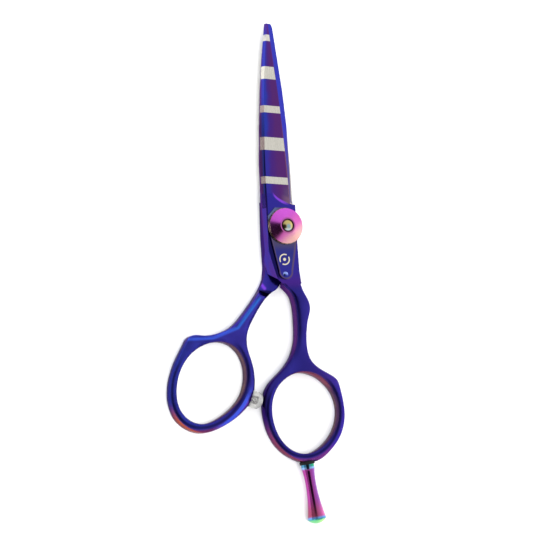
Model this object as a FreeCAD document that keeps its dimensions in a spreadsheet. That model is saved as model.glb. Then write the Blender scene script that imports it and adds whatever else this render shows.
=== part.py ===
import FreeCAD, Part
import math
import os
import re

import Sketcher
from FreeCAD import Placement, Rotation, Vector

# Thinning shears lying flat. The origin is on the pivot axis at the face that the
# shears rest on, +Y runs from the pivot to the blade tips, +Z points up through the
# tension dial and +X is on the side of the finger ring. All lengths are millimetres.

DIMENSIONS = [
    ("rear_thick", 2.75, "thickness of the thumb half at its ricasso"),
    ("blade_gap", 0.10, "gap between the inner faces of the two halves"),
    ("front_thick", 2.75, "thickness of the finger half at its ricasso"),
    ("ring_depth", 4.6, "depth of both finger rings and shanks along Z"),
    ("edge_round", 0.95, "rounding of the long edges of rings and shanks"),
    ("under_radius", 18.7, "swing circle kept free under the finger half"),
    ("shoulder_low", 21.6, "radius of the foot of the thumb half's shoulder"),
    ("shoulder_top", 23.4, "radius of the top of the thumb half's shoulder"),
    ("side_wall", 1.35, "height of the plain wall below the spine bevel"),
    ("side_bevel", 0.85, "width of the bevel along the left of the ricasso"),
    ("side_fall", 1.5, "fall of that bevel over its width"),
    ("bevel_reach", 3.0, "how far the bevel's cutting tool reaches to the side"),
    ("bevel_run", 33.0, "length of the cuts that make the bevel"),
    ("face_fall", 0.4, "fall of the blade face from the ridge to the cutting bevel"),
    ("edge_land", 0.22, "thickness left at the cutting edges"),
    ("tip_drop", 1.5, "loss of thickness of each blade from heel to tip"),
    ("tip_radius", 1.25, "radius of the front blade's rounded tip"),
    ("tip_centre", 64.3, "distance from the pivot to the centre of that rounding"),
    ("tip_side", -0.05, "sideways place of the centre of that rounding"),
    ("tip_reach", 3.0, "size of the tool that rounds the tip"),
    ("slot_end", -9.0, "sideways place where the tools of the comb's slots end"),
    ("tooth_pitch", 1.6, "pitch of the comb teeth"),
    ("slot_width", 0.75, "width of the slots between the teeth"),
    ("tooth_count", 28, "number of slots in the comb"),
    ("comb_start", 15.6, "distance from the pivot to the first slot"),
    ("bolt_radius", 2.0, "radius of the bolt where the thumb half turns"),
    ("bolt_key", 3.2, "width across the flats of the bolt's key"),
    ("bolt_thread", 1.6, "radius of the threaded end of the bolt"),
    ("bolt_top", 7.8, "height of the bolt's end"),
    ("head_radius", 3.7, "radius of the bolt's flat head"),
    ("head_thick", 1.1, "thickness of the bolt's flat head"),
    ("run_gap", 0.03, "radial clearance of running fits"),
    ("face_gap", 0.02, "axial clearance of sliding faces"),
    ("slack", 0.15, "radial clearance around loose pieces"),
    ("washer_thick", 0.35, "thickness of the two pivot washers"),
    ("washer_radius", 3.9, "outer radius of the bearing washer"),
    ("bush_radius", 2.8, "outer radius of the pivot bush"),
    ("plate_thick", 0.4, "thickness of the leaf spring plate"),
    ("plate_end", 2.4, "radius of the lower end of the plate"),
    ("rivet_shank", 0.6, "radius of the rivet's shank"),
    ("rivet_head", 0.95, "radius of the rivet's domed head"),
    ("rivet_depth", 1.2, "depth of the rivet in the finger half"),
    ("rivet_rise", 0.45, "height of the rivet's head"),
    ("dial_radius", 5.6, "radius of the tension dial"),
    ("dial_foot", 4.8, "radius of the dial's underside"),
    ("dial_under", 0.25, "height of the cone below the dial's rim"),
    ("dial_rim", 0.3, "height of the dial's rim"),
    ("dial_cone", 1.2, "height of the dial's conical top"),
    ("dial_lip", 0.4, "width of the flat lip round the dial's recess"),
    ("dial_eye", 2.1, "radius of the recess in the dial's centre"),
    ("eye_depth", 0.55, "depth of the recess in the dial's centre"),
    ("click_radius", 5.75, "radius of the click ring under the dial"),
    ("click_thick", 0.5, "thickness of the click ring"),
    ("click_notches", 24, "number of notches round the click ring"),
    ("notch_radius", 0.16, "radius of the click ring's notches"),
    ("cap_radius", 1.75, "radius of the domed cap screw"),
    ("cap_thick", 0.65, "height of the cap screw's head"),
    ("cap_edge", 0.15, "height of the cap screw's head at its rim"),
    ("cap_lift", 0.2, "height of the cap screw's head above the bolt"),
    ("cap_shank", 0.7, "radius of the cap screw's shank"),
    ("cap_reach", 2.2, "length of the cap screw's shank in the bolt"),
    ("rest_length", 18.7, "length of the finger rest beyond its washer"),
    ("rest_collar", 2.1, "radius of the finger rest's collar"),
    ("collar_edge", 0.6, "length of the cone between the collar and the grip"),
    ("rest_angle", 7.0, "tilt of the finger rest from the -Y direction, degrees"),
    ("stud_radius", 1.2, "radius of the finger rest's stud"),
    ("stud_reach", 1.6, "length of the stud in the ring's wall"),
    ("spot_rise", 2.0, "height of the tool that mills the flats on the rings"),
    ("rest_washer", 2.4, "outer radius of the finger rest's washer"),
    ("washer_round", 0.3, "rounding of the finger rest's washer"),
    ("rest_washer_thick", 1.0, "thickness of the finger rest's washer"),
    ("bumper_radius", 2.65, "radius of the bumper"),
    ("bumper_height", 2.7, "height of the bumper's axis"),
    ("bumper_length", 4.0, "length of the bumper"),
    ("bumper_round", 1.7, "rounding of the bumper's free end"),
    ("bumper_angle", -18.0, "direction of the bumper's axis in the XY plane, degrees"),
    ("bumper_stud", 0.9, "radius of the bumper's threaded stud"),
    ("bumper_stud_in", 2.6, "length of the bumper's stud in the ring's wall"),
    ("bumper_stud_out", 2.4, "length of the bumper's stud inside the bumper"),
]

# Outlines in the XY plane. Each is a smooth closed curve through its points.
FINGER_HANDLE = [
    (1.2, -12.6), (3.3, -14.2), (4.3, -17.0), (5.4, -20.6), (6.9, -23.6), (7.3, -25.8),
    (6.4, -29.4), (5.5, -34.0), (5.4, -38.6), (6.4, -42.3), (9.4, -45.2), (13.0, -47.25),
    (14.8, -48.6), (15.9, -51.6), (16.7, -56.4), (16.65, -61.4), (14.85, -66.5),
    (10.9, -71.2), (6.6, -74.0), (2.6, -74.4), (-1.6, -73.0), (-5.5, -70.2), (-8.6, -65.7),
    (-10.1, -60.4), (-10.2, -54.6), (-8.4, -50.0), (-4.3, -46.0), (-0.3, -41.6),
    (1.7, -36.8), (2.3, -30.6), (2.1, -24.8), (0.9, -21.2), (-1.4, -18.7), (-2.3, -16.2),
    (-1.3, -13.5),
]
FINGER_HOLE = [
    (3.6, -46.2), (8.0, -47.5), (12.0, -50.7), (14.4, -55.4), (14.5, -60.8),
    (12.1, -66.0), (7.8, -70.0), (3.0, -71.7), (-1.7, -70.6), (-5.5, -67.0),
    (-7.6, -61.8), (-7.8, -56.2), (-5.8, -51.0), (-1.7, -47.4),
]
THUMB_HANDLE = [
    (-3.9, -12.2), (-6.1, -14.0), (-7.4, -17.0), (-9.3, -20.2), (-12.2, -24.0),
    (-15.6, -27.9), (-19.4, -31.2), (-23.8, -33.0), (-29.0, -33.65), (-32.8, -33.55),
    (-34.2, -34.4), (-35.2, -36.0), (-37.0, -38.9), (-39.5, -43.8), (-41.15, -49.4),
    (-41.15, -54.8), (-39.2, -59.6), (-35.6, -62.6), (-31.3, -63.9), (-26.5, -63.0),
    (-21.7, -60.8), (-17.2, -57.6), (-14.1, -53.9), (-12.8, -48.8), (-13.3, -42.6),
    (-14.6, -37.2), (-14.1, -32.9), (-11.7, -28.4), (-8.6, -24.0), (-5.4, -21.0),
    (-2.3, -18.9), (-1.4, -16.2), (-1.9, -13.4),
]
THUMB_HOLE = [
    (-24.4, -35.7), (-29.7, -36.9), (-34.3, -40.0), (-37.6, -44.8), (-39.1, -50.4),
    (-38.3, -56.4), (-35.4, -59.8), (-31.0, -61.1), (-26.2, -59.8), (-21.5, -57.0),
    (-17.6, -53.0), (-15.6, -47.6), (-16.3, -41.2), (-19.5, -37.1),
]

# Plates between the blades and the shanks. The swoosh is the curved step where the
# ground face of the front blade runs out.
FINGER_RICASSO = [
    (-6.45, 12.6), (-6.6, 8.3), (-6.75, -3.0), (-6.75, -12.8), (-6.3, -14.1), (-4.9, -15.4),
    (-1.9, -18.1), (2.6, -18.0), (4.55, -18.2), (4.1, -14.0), (4.05, -4.8), (4.15, 6.9),
]
FINGER_SWOOSH = [(4.15, 6.9), (1.8, 7.4), (-0.3, 8.1), (-2.2, 9.4), (-3.3, 11.6)]
THUMB_RICASSO = [
    (-5.75, 8.3), (-6.2, -3.0), (-6.2, -12.6), (-6.7, -15.9), (-3.0, -17.6),
    (0.5, -16.5), (4.3, -14.0), (4.5, 8.3),
]

# Blade stations: distance along +Y, then the X of the spine (or teeth) wall, the
# ridge, the bevel line and the cutting edge (or back) at that station.
FRONT_STATIONS = [
    (6.0, -6.55, -5.6, 2.5, 4.1),
    (20.0, -6.3, -5.2, 2.4, 4.25),
    (32.5, -5.4, -4.4, 1.9, 4.05),
    (43.5, -4.4, -3.6, 1.25, 3.4),
    (54.5, -3.0, -2.4, 0.2, 2.3),
    (65.4, -1.3, -1.05, -0.35, 1.2),
]
REAR_STATIONS = [
    (6.0, -5.5, -3.4, 3.7, 4.5),
    (20.0, -5.0, -3.0, 3.6, 4.5),
    (32.5, -4.1, -2.3, 2.9, 3.75),
    (43.5, -3.1, -1.7, 2.1, 3.0),
    (54.5, -1.8, -0.9, 1.1, 1.8),
    (64.6, -0.5, -0.2, 0.3, 0.7),
]
# The roots of the comb's slots lie on this line.
COMB_ROOTS = [(-0.9, 15.0), (0.55, 60.0)]

# Leaf spring plate: five corners of an octagon round the dial, clockwise from the
# lower right, and the centre of the rounded lower end. The rivet is just below it.
PLATE_CORNERS = [
    (3.75, -4.5), (3.8, 3.0), (1.1, 6.0), (-3.1, 6.0), (-5.6, 3.4), (-5.65, -1.5),
]
PLATE_FOOT = (-0.65, -14.4)
RIVET_PLACE = (-0.85, -15.3)

REST_SEAT = (3.35, -74.05)
BUMPER_SEAT = (-14.35, -53.6)

# Upper edges of the two planes that bevel the left of the ricasso. The second one
# widens the bevel towards the crotch.
LONG_BEVEL = [(-5.3, 14.0), (-6.0, -7.5)]
CROTCH_BEVEL = [(-6.9, -4.7), (-3.6, -16.3)]

# Radius and distance along the axis of the finger rest's grip, from its collar on.
REST_GRIP = [(1.95, 3.0), (1.7, 6.0), (1.75, 9.0), (2.1, 13.0), (2.6, 16.2), (3.0, 18.2)]

# Heights, as sums of the dimensions.
FRONT_BASE = "rear_thick + blade_gap"
FRONT_TOP = FRONT_BASE + " + front_thick"
PLATE_TOP = FRONT_TOP + " + plate_thick"
DIAL_BASE = PLATE_TOP + " + click_thick + face_gap"
RIM_BASE = DIAL_BASE + " + dial_under"
RIM_TOP = RIM_BASE + " + dial_rim"
DIAL_TOP = RIM_TOP + " + dial_cone"
CAP_BASE = "bolt_top + cap_lift"

# Smallest volume, in cubic millimetres, that counts as cut away, and the largest
# difference between two lengths that are the same.
LEAST_CUT = 0.001
SAME_LENGTH = 0.01

doc = FreeCAD.newDocument("thinning_shears")
sheet = doc.addObject("Spreadsheet::Sheet", "Dimensions")


def fill_sheet():
    """Write one row per driving dimension: its note, its value and its alias."""
    for row, (alias, number, note) in enumerate(DIMENSIONS, start=1):
        sheet.set("A%d" % row, note)
        sheet.set("B%d" % row, str(number))
        sheet.setAlias("B%d" % row, alias)
    doc.recompute()


def value(formula):
    """Work out a formula: a sum of aliases and numbers, its terms parted by spaces."""
    total = 0.0
    sign = 1.0
    for word in str(formula).split():
        if word in ("+", "-"):
            sign = 1.0 if word == "+" else -1.0
        elif word[0].isalpha():
            total += sign * float(sheet.get(word))
        else:
            total += sign * float(word)
    return total


def bind(item, prop, formula):
    """Bind a property to a formula, whose words are aliases of the sheet."""
    item.setExpression(prop, re.sub(r"([a-z]\w*)", r"Dimensions.\1", formula))


def new_body(name):
    """Add an empty PartDesign body whose Label is the node's name."""
    body = doc.addObject("PartDesign::Body", name)
    body.Label = name
    return body


def plane_of(body, role):
    """Find one of the body's own origin planes or axes by its role."""
    return next(item for item in body.Origin.OriginFeatures if item.Role == role)


def new_sketch(body, name, role="XY_Plane", offset="0"):
    """Attach a sketch to an origin plane, moved along the plane's normal by offset."""
    sketch = body.newObject("Sketcher::SketchObject", name)
    sketch.AttachmentSupport = [(plane_of(body, role), "")]
    sketch.MapMode = "FlatFace"
    sketch.AttachmentOffset = Placement(Vector(0, 0, value(offset)), Rotation())
    if re.search("[a-z]", offset):
        bind(sketch, "AttachmentOffset.Base.z", offset)
    return sketch


def closed_spline(sketch, points):
    """Draw a smooth closed curve through points."""
    curve = Part.BSplineCurve()
    curve.interpolate(Points=[Vector(x, y, 0) for x, y in points], PeriodicFlag=True)
    sketch.addGeometry(curve, False)


def open_spline(points):
    """Give a smooth open curve through points."""
    curve = Part.BSplineCurve()
    curve.interpolate(Points=[Vector(x, y, 0) for x, y in points])
    return curve


def polygon(sketch, corners):
    """Draw a closed polygon. Each corner is a pair of numbers or formulas, and each
    coordinate that is a formula becomes a constraint bound to the sheet."""
    places = [Vector(value(x), value(y), 0) for x, y in corners]
    first = sketch.GeometryCount
    count = len(corners)
    for index, start in enumerate(places):
        sketch.addGeometry(Part.LineSegment(start, places[(index + 1) % count]), False)
    for index in range(count):
        following = first + (index + 1) % count
        sketch.addConstraint(Sketcher.Constraint("Coincident", first + index, 2, following, 1))
    for index, pair in enumerate(corners):
        for kind, formula in zip(("DistanceX", "DistanceY"), pair):
            constraint = Sketcher.Constraint(kind, -1, 1, first + index, 1, value(formula))
            number = sketch.addConstraint(constraint)
            if re.search("[a-z]", str(formula)):
                bind(sketch, "Constraints[%d]" % number, formula)


def circle(sketch, formula, x=0.0, y=0.0):
    """Draw a circle whose radius is bound to the sheet."""
    number = sketch.addGeometry(Part.Circle(Vector(x, y, 0), Vector(0, 0, 1), value(formula)))
    radius = sketch.addConstraint(Sketcher.Constraint("Radius", number, value(formula)))
    bind(sketch, "Constraints[%d]" % radius, formula)
    sketch.addConstraint(Sketcher.Constraint("DistanceX", -1, 1, number, 3, x))
    sketch.addConstraint(Sketcher.Constraint("DistanceY", -1, 1, number, 3, y))


def pad(body, sketch, length, name):
    """Add material from the sketch along its normal."""
    feature = body.newObject("PartDesign::Pad", name)
    feature.Profile = sketch
    bind(feature, "Length", length)
    doc.recompute()
    return feature


def check_cut(before, feature):
    """Stop if a feature leaves the solid as large as it was and its tool misses it."""
    removed = before.Volume - feature.Shape.Volume
    if removed < LEAST_CUT and before.common(feature.AddSubShape).Volume < LEAST_CUT:
        raise RuntimeError(feature.Name + " removed nothing")


def pocket(body, sketch, name, length=None):
    """Take material away against the sketch's normal, or all the way through both
    ways where no length is given, and check that some went."""
    before = body.Shape
    feature = body.newObject("PartDesign::Pocket", name)
    feature.Profile = sketch
    if length is None:
        feature.SideType = "Symmetric"
        feature.Type = "ThroughAll"
    else:
        bind(feature, "Length", length)
    doc.recompute()
    check_cut(before, feature)
    return feature


def turned(body, sketch, name, axis="Z_Axis"):
    """Turn the sketch a full circle about one of the body's own axes."""
    feature = body.newObject("PartDesign::Revolution", name)
    feature.Profile = sketch
    feature.ReferenceAxis = (plane_of(body, axis), [""])
    feature.Angle = 360.0
    doc.recompute()
    return feature


def round_edges(body, feature, radius, wanted, name):
    """Fillet the edges of a feature for which wanted(edge) is true."""
    names = ["Edge%d" % number for number, edge in enumerate(feature.Shape.Edges, start=1)
             if wanted(edge)]
    rounded = body.newObject("PartDesign::Fillet", name)
    rounded.Base = (feature, names)
    bind(rounded, "Radius", radius)
    doc.recompute()
    return rounded


def handle(body, outline, hole, base):
    """Pad a shank and ring along Z from base, and round its long edges."""
    sketch = new_sketch(body, body.Name + "_handle_outline", offset=base)
    closed_spline(sketch, outline)
    closed_spline(sketch, hole)
    blank = pad(body, sketch, "ring_depth", body.Name + "_handle")

    def is_long(edge):
        return edge.BoundBox.ZLength < SAME_LENGTH

    return round_edges(body, blank, "edge_round", is_long, body.Name + "_round")


def loft_blade(body, stations, section, name):
    """Loft a blade through one closed section per station along +Y."""
    sketches = []
    for number, station in enumerate(stations, start=1):
        sketch = new_sketch(body, "%s_section_%d" % (name, number), "XZ_Plane")
        sketch.AttachmentOffset = Placement(Vector(0, 0, -station[0]), Rotation())
        polygon(sketch, section(station))
        sketches.append(sketch)
    loft = body.newObject("PartDesign::AdditiveLoft", name)
    loft.Profile = sketches[0]
    loft.Sections = sketches[1:]
    loft.Ruled = True
    doc.recompute()
    return loft


def tip_loss(station):
    """Thickness that a blade has lost at a station, growing evenly to the tip."""
    first = FRONT_STATIONS[0][0]
    last = FRONT_STATIONS[-1][0]
    return "%.4f" % (value("tip_drop") * (station[0] - first) / (last - first))


def front_section(station):
    """Six corners of the plain blade: spine wall, ridge, face and cutting bevel."""
    spine, ridge, bevel, edge = station[1:]
    inner = "rear_thick + blade_gap"
    top = inner + " + front_thick - " + tip_loss(station)
    return [
        (spine, inner), (edge, inner), (edge, inner + " + edge_land"),
        (bevel, top + " - face_fall"), (ridge, top), (spine, top + " - side_wall"),
    ]


def rear_section(station):
    """Six corners of the comb blade, with its outer face turned down."""
    teeth, bevel, ridge, back = station[1:]
    outer = tip_loss(station)
    return [
        (teeth, "rear_thick"), (teeth, "rear_thick - edge_land"), (bevel, outer),
        (ridge, outer), (back, outer + " + side_wall - edge_land"), (back, "rear_thick"),
    ]


def flat_outline(sketch, corners):
    """Draw a closed polygon whose corners are plain points."""
    count = len(corners)
    for index, corner in enumerate(corners):
        start = Vector(corner[0], corner[1], 0)
        end = Vector(corners[(index + 1) % count][0], corners[(index + 1) % count][1], 0)
        sketch.addGeometry(Part.LineSegment(start, end), False)


def round_tip(body, name):
    """Cut the front blade's end to an arc about a point on its axis."""
    sketch = new_sketch(body, name + "_outline")
    radius = value("tip_radius")
    reach = value("tip_reach")
    middle = Vector(value("tip_side"), value("tip_centre"), 0)
    sideways = Vector(1, 0, 0)
    onward = Vector(0, 1, 0)
    right = middle + sideways * radius
    left = middle - sideways * radius
    sketch.addGeometry(Part.Arc(right, middle + onward * radius, left), False)
    around = [
        left, middle - sideways * reach, middle - sideways * reach + onward * reach,
        middle + sideways * reach + onward * reach, middle + sideways * reach, right,
    ]
    for start, end in zip(around, around[1:]):
        sketch.addGeometry(Part.LineSegment(start, end), False)
    return pocket(body, sketch, name)


def swing_clearance(body, corners, name):
    """Turn a groove about the pivot axis to free the other half's swing. The corners
    are pairs of radius and height."""
    before = body.Shape
    sketch = new_sketch(body, name + "_profile", "XZ_Plane")
    polygon(sketch, corners)
    groove = body.newObject("PartDesign::Groove", name)
    groove.Profile = sketch
    groove.ReferenceAxis = (plane_of(body, "Z_Axis"), [""])
    groove.Angle = 360.0
    doc.recompute()
    check_cut(before, groove)
    return groove


def hole(body, name, radius, base, length, flats=None):
    """Bore down through the body about the pivot axis, from base over length. With
    flats given, the bore is a circle cut off at two flats that far apart."""
    sketch = new_sketch(body, name + "_outline", offset=base)
    if flats is None:
        circle(sketch, radius)
    else:
        keyed_outline(sketch, value(radius), value(flats) / 2)
    return pocket(body, sketch, name, length)


def keyed_outline(sketch, radius, half_flat):
    """Draw a circle cut off at two flats that lie at plus and minus half_flat in X."""
    high = math.sqrt(radius ** 2 - half_flat ** 2)
    corners = [(half_flat, -high), (half_flat, high), (-half_flat, high), (-half_flat, -high)]
    places = [Vector(x, y, 0) for x, y in corners]
    sketch.addGeometry(Part.LineSegment(places[0], places[1]), False)
    sketch.addGeometry(Part.Arc(places[1], Vector(0, radius, 0), places[2]), False)
    sketch.addGeometry(Part.LineSegment(places[2], places[3]), False)
    sketch.addGeometry(Part.Arc(places[3], Vector(0, -radius, 0), places[0]), False)


def bevel_side(body, edge, name):
    """Plane off the left of the ricasso, below an upper edge given by two points."""
    top = value(FRONT_TOP)
    upper, lower = (Vector(x, y, top) for x, y in edge)
    backward = (upper - lower).normalize()
    up = Vector(0, 0, 1)
    side = up.cross(backward)
    sketch = body.newObject("Sketcher::SketchObject", name + "_profile")
    sketch.AttachmentSupport = [(plane_of(body, "XY_Plane"), "")]
    sketch.MapMode = "FlatFace"
    sketch.AttachmentOffset = Placement(upper, Rotation(side, up, backward, "ZXY"))
    reach = value("bevel_reach")
    fall = reach * value("side_fall") / value("side_bevel")
    flat_outline(sketch, [(0, 0), (reach, 0), (reach, -fall)])
    return pocket(body, sketch, name, "bevel_run")


def tool_sketch(body, name, start, direction):
    """Attach a sketch at the point start, facing along a direction."""
    sketch = body.newObject("Sketcher::SketchObject", name + "_outline")
    sketch.AttachmentSupport = [(plane_of(body, "XY_Plane"), "")]
    sketch.MapMode = "FlatFace"
    sketch.AttachmentOffset = Placement(start, Rotation(Vector(0, 0, 1), direction))
    return sketch


def placed_hole(body, name, radius, start, direction, length):
    """Bore a blind hole from the point start, against a direction."""
    sketch = tool_sketch(body, name, start, direction)
    circle(sketch, radius)
    return pocket(body, sketch, name, length)


def spot_face(body, name, half_width, seat, direction):
    """Mill a flat across the outside of a ring, square to a direction."""
    rise = value("spot_rise")
    sketch = tool_sketch(body, name, seat + direction * rise, direction)
    reach = value("ring_depth")
    across = value(half_width)
    along_z = abs(sketch.AttachmentOffset.Rotation.multVec(Vector(1, 0, 0)).z) > 0.5
    x, y = (reach, across) if along_z else (across, reach)
    flat_outline(sketch, [(-x, -y), (x, -y), (x, y), (-x, y)])
    return pocket(body, sketch, name, "spot_rise")


def outward(angle):
    """Unit vector in the XY plane at an angle in degrees from +X."""
    return Vector(math.cos(math.radians(angle)), math.sin(math.radians(angle)), 0)


def rest_axis():
    """Seat and direction of the finger rest, in the middle of the ring's depth."""
    height = value(FRONT_TOP) - value("ring_depth") / 2
    seat = Vector(REST_SEAT[0], REST_SEAT[1], height)
    return seat, outward(value("rest_angle") - 90.0)


def bumper_axis():
    """Seat and direction of the bumper on the thumb ring."""
    seat = Vector(BUMPER_SEAT[0], BUMPER_SEAT[1], value("bumper_height"))
    return seat, outward(value("bumper_angle"))


def make_finger_half():
    """Plain upper blade, ricasso, shank and finger ring in one forging."""
    body = new_body("finger_blade_half")
    handle(body, FINGER_HANDLE, FINGER_HOLE, FRONT_TOP + " - ring_depth")
    swing_clearance(
        body,
        [("0", "0"), ("under_radius", "0"), ("under_radius", FRONT_BASE), ("0", FRONT_BASE)],
        "finger_swing_clearance",
    )
    outline = new_sketch(body, "finger_ricasso_outline", offset=FRONT_BASE)
    outline.addGeometry(open_spline(FINGER_SWOOSH), False)
    corners = [FINGER_SWOOSH[-1]] + FINGER_RICASSO
    for first, second in zip(corners, corners[1:]):
        outline.addGeometry(Part.LineSegment(Vector(*first, 0), Vector(*second, 0)), False)
    pad(body, outline, "front_thick", "finger_ricasso")
    bevel_side(body, LONG_BEVEL, "long_bevel")
    bevel_side(body, CROTCH_BEVEL, "crotch_bevel")
    loft_blade(body, FRONT_STATIONS, front_section, "front_blade")
    round_tip(body, "front_tip")
    hole(body, "finger_key", "bolt_radius + run_gap", FRONT_TOP, "front_thick",
         "bolt_key + run_gap + run_gap")
    rivet_mouth = Vector(RIVET_PLACE[0], RIVET_PLACE[1], value(FRONT_TOP))
    placed_hole(body, "rivet_hole", "rivet_shank", rivet_mouth, Vector(0, 0, 1), "rivet_depth")
    seat, direction = rest_axis()
    spot_face(body, "rest_spot_face", "rest_washer + slack", seat, direction)
    placed_hole(body, "rest_stud_hole", "stud_radius", seat, direction, "stud_reach")
    return body


def make_thumb_half():
    """Comb blade, ricasso, shank and thumb ring in one forging."""
    body = new_body("thumb_blade_half")
    handle(body, THUMB_HANDLE, THUMB_HOLE, "0")
    swing_clearance(
        body,
        [("0", "rear_thick"), ("shoulder_low", "rear_thick"), ("shoulder_top", "ring_depth"),
         ("0", "ring_depth")],
        "thumb_shoulder",
    )
    outline = new_sketch(body, "thumb_ricasso_outline")
    flat_outline(outline, THUMB_RICASSO)
    pad(body, outline, "rear_thick", "thumb_ricasso")
    loft_blade(body, REAR_STATIONS, rear_section, "rear_blade")
    cut_comb(body)
    hole(body, "head_recess", "head_radius + slack", "head_thick + washer_thick",
         "head_thick + washer_thick")
    hole(body, "bush_bore", "bush_radius", "rear_thick", "rear_thick")
    hole(body, "washer_recess", "washer_radius + slack", "rear_thick",
         "washer_thick - blade_gap + face_gap")
    seat, direction = bumper_axis()
    spot_face(body, "bumper_spot_face", "bumper_radius + slack", seat, direction)
    placed_hole(body, "bumper_stud_hole", "bumper_stud", seat, direction, "bumper_stud_in")
    return body


def cut_comb(body):
    """Cut evenly spaced slots from the cutting edge back to a slanting root line."""
    sketch = new_sketch(body, "comb_slots_outline")
    (root_x, root_y), (end_x, end_y) = COMB_ROOTS
    slope = (end_x - root_x) / (end_y - root_y)
    half_width = value("slot_width") / 2
    open_end = value("slot_end")
    for number in range(int(value("tooth_count"))):
        middle = value("comb_start") + number * value("tooth_pitch")
        root = root_x + (middle - root_y) * slope
        low = Vector(root, middle - half_width, 0)
        high = Vector(root, middle + half_width, 0)
        sketch.addGeometry(Part.Arc(low, Vector(root + half_width, middle, 0), high), False)
        far_high = Vector(open_end, middle + half_width, 0)
        far_low = Vector(open_end, middle - half_width, 0)
        for start, end in ((high, far_high), (far_high, far_low), (far_low, low)):
            sketch.addGeometry(Part.LineSegment(start, end), False)
    pocket(body, sketch, "comb_slots")


def turned_piece(name, corners, place=None):
    """Make a body by turning a closed profile of (radius, height) corners about +Z,
    and set it at a place: a point and the direction that its +Z takes."""
    body = new_body(name)
    sketch = new_sketch(body, name + "_profile", "XZ_Plane")
    polygon(sketch, corners)
    turned(body, sketch, name + "_turned")
    if place is not None:
        body.Placement = Placement(place[0], Rotation(Vector(0, 0, 1), place[1]))
    return body


def ring_profile(inner, outer, low, high):
    """Four corners of a plain ring's section."""
    return [(inner, low), (outer, low), (outer, high), (inner, high)]


def make_pivot_bolt():
    """Flat head in the thumb half, round neck, keyed neck and threaded end."""
    body = turned_piece("pivot_bolt", [
        ("0", "0"), ("head_radius", "0"), ("head_radius", "head_thick"),
        ("bolt_radius", "head_thick"), ("bolt_radius", FRONT_BASE),
        ("bolt_thread", FRONT_BASE), ("bolt_thread", "bolt_top"), ("0", "bolt_top"),
    ])
    sketch = new_sketch(body, "bolt_key_outline", offset=FRONT_BASE)
    keyed_outline(sketch, value("bolt_radius"), value("bolt_key") / 2)
    pad(body, sketch, "front_thick + plate_thick + click_thick", "bolt_key_neck")
    hole(body, "cap_screw_bore", "cap_shank", "bolt_top", "cap_reach")
    return body


def make_washers():
    """Bush and the two thin washers that the thumb half turns against."""
    recess_top = "head_thick + washer_thick"
    washer_floor = FRONT_BASE + " - face_gap - washer_thick"
    head_washer = turned_piece("head_washer", ring_profile(
        "bolt_radius + slack", "head_radius - slack", "head_thick + face_gap", recess_top))
    bush = turned_piece("pivot_bush", ring_profile(
        "bolt_radius + run_gap", "bush_radius", recess_top, washer_floor))
    bearing = turned_piece("bearing_washer", ring_profile(
        "bolt_radius + slack", "washer_radius", washer_floor, FRONT_BASE + " - face_gap"))
    return [head_washer, bush, bearing]


def make_leaf_spring_plate():
    """Thin plate under the dial, eight-sided at the top and tapering to its rivet."""
    body = new_body("leaf_spring_plate")
    sketch = new_sketch(body, "plate_outline", offset=FRONT_TOP)
    foot_x, foot_y = PLATE_FOOT
    radius = value("plate_end")
    left = (foot_x - radius, foot_y)
    right = (foot_x + radius, foot_y)
    path = [right] + PLATE_CORNERS + [left]
    for first, second in zip(path, path[1:]):
        sketch.addGeometry(Part.LineSegment(Vector(*first, 0), Vector(*second, 0)), False)
    bottom = Vector(foot_x, foot_y - radius, 0)
    sketch.addGeometry(Part.Arc(Vector(*left, 0), bottom, Vector(*right, 0)), False)
    circle(sketch, "bolt_radius + run_gap")
    circle(sketch, "rivet_shank", *RIVET_PLACE)
    pad(body, sketch, "plate_thick", "plate_blank")
    return body


def domed_profile(sketch, corners, rim, crown):
    """Draw a turned profile of (radius, height) corners that ends in a domed top, from
    the last corner, rim, over to the crown on the axis."""
    path = [Vector(value(x), value(y), 0) for x, y in corners + [rim]]
    for first, second in zip(path, path[1:]):
        sketch.addGeometry(Part.LineSegment(first, second), False)
    edge = path[-1]
    height = value(crown)
    rise = height - edge.y
    radius = (edge.x ** 2 + rise ** 2) / (2 * rise)
    angle = math.asin(edge.x / radius) / 2
    middle = Vector(radius * math.sin(angle), height - radius + radius * math.cos(angle), 0)
    top = Vector(0, height, 0)
    sketch.addGeometry(Part.Arc(edge, middle, top), False)
    sketch.addGeometry(Part.LineSegment(top, path[0]), False)


def domed_piece(name, corners, rim, crown, place=None):
    """Make a turned body with a domed top."""
    body = new_body(name)
    sketch = new_sketch(body, name + "_profile", "XZ_Plane")
    domed_profile(sketch, corners, rim, crown)
    turned(body, sketch, name + "_turned")
    if place is not None:
        body.Placement = Placement(place[0], Rotation(Vector(0, 0, 1), place[1]))
    return body


def make_plate_rivet():
    """Small domed rivet that holds the foot of the plate."""
    foot = FRONT_TOP + " - rivet_depth"
    corners = [
        ("0", foot), ("rivet_shank", foot), ("rivet_shank", PLATE_TOP),
        ("rivet_head", PLATE_TOP),
    ]
    rim = ("rivet_head", PLATE_TOP + " + face_gap")
    place = (Vector(RIVET_PLACE[0], RIVET_PLACE[1], 0), Vector(0, 0, 1))
    return domed_piece("plate_rivet", corners, rim, PLATE_TOP + " + rivet_rise", place)


def make_click_ring():
    """Notched ring under the dial, which the bolt's flats keep from turning."""
    body = new_body("click_ring")
    sketch = new_sketch(body, "click_ring_outline", offset=PLATE_TOP + " + face_gap")
    circle(sketch, "click_radius")
    keyed_outline(sketch, value("bolt_radius + run_gap"), value("bolt_key") / 2 + value("run_gap"))
    pad(body, sketch, "click_thick - face_gap", "click_ring_blank")
    notches = new_sketch(body, "click_notches", offset=PLATE_TOP + " + click_thick")
    count = int(value("click_notches"))
    for number in range(count):
        spot = outward(360.0 / count * (number + 0.5)) * value("click_radius")
        circle(notches, "notch_radius", spot.x, spot.y)
    pocket(body, notches, "click_ring_notches", "click_thick")
    return body


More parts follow.
